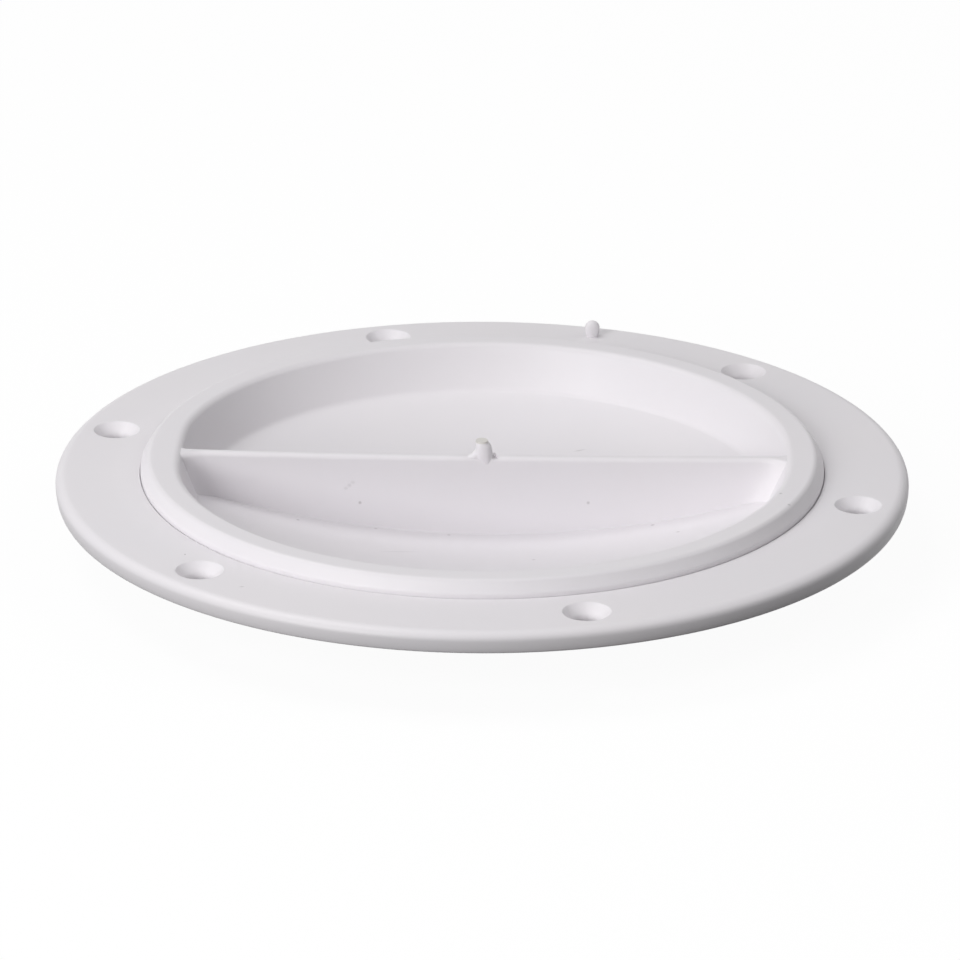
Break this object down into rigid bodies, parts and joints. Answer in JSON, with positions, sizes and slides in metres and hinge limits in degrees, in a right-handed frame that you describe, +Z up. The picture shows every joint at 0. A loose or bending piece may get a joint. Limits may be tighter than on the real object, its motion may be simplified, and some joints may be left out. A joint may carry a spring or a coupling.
{
  "type": "deck inspection plate",
  "caption": "Round moulded deck inspection plate: a flanged ring with countersunk screw holes and a dished screw-in lid with a straight grip web and a rubber seal",
  "frame": {"origin": "on the ring's axis, in the plane of the deck that the flange lies on", "axes": "+Z up out of the deck along the ring's axis; the lid's grip web runs along X"},
  "size_m": [0.145, 0.145, 0.019],
  "materials": {
    "ring_plastic": "satin",
    "lid_plastic": "satin",
    "seal_rubber": "matt"
  },
  "bodies": {
    "ring": {"deck_ring": "ring_plastic"},
    "seal": {"seal_ring": "seal_rubber"},
    "lid": {"screw_lid": "lid_plastic"}
  },
  "joints": [
    {"name": "lid_lift", "type": "slide", "parent": "ring", "child": "seal", "axis": [0, 0, 1], "range_m": [0, 0.0064]},
    {"name": "lid_turn", "type": "hinge", "parent": "seal", "child": "lid", "pos_m": [0, 0, 0], "axis": [0, 0, 1], "range_deg": [0, 630]}
  ],
  "couplings": [
    {"joint": "lid_lift", "follows": "lid_turn", "m_per_rad": 0.00057296}
  ]
}
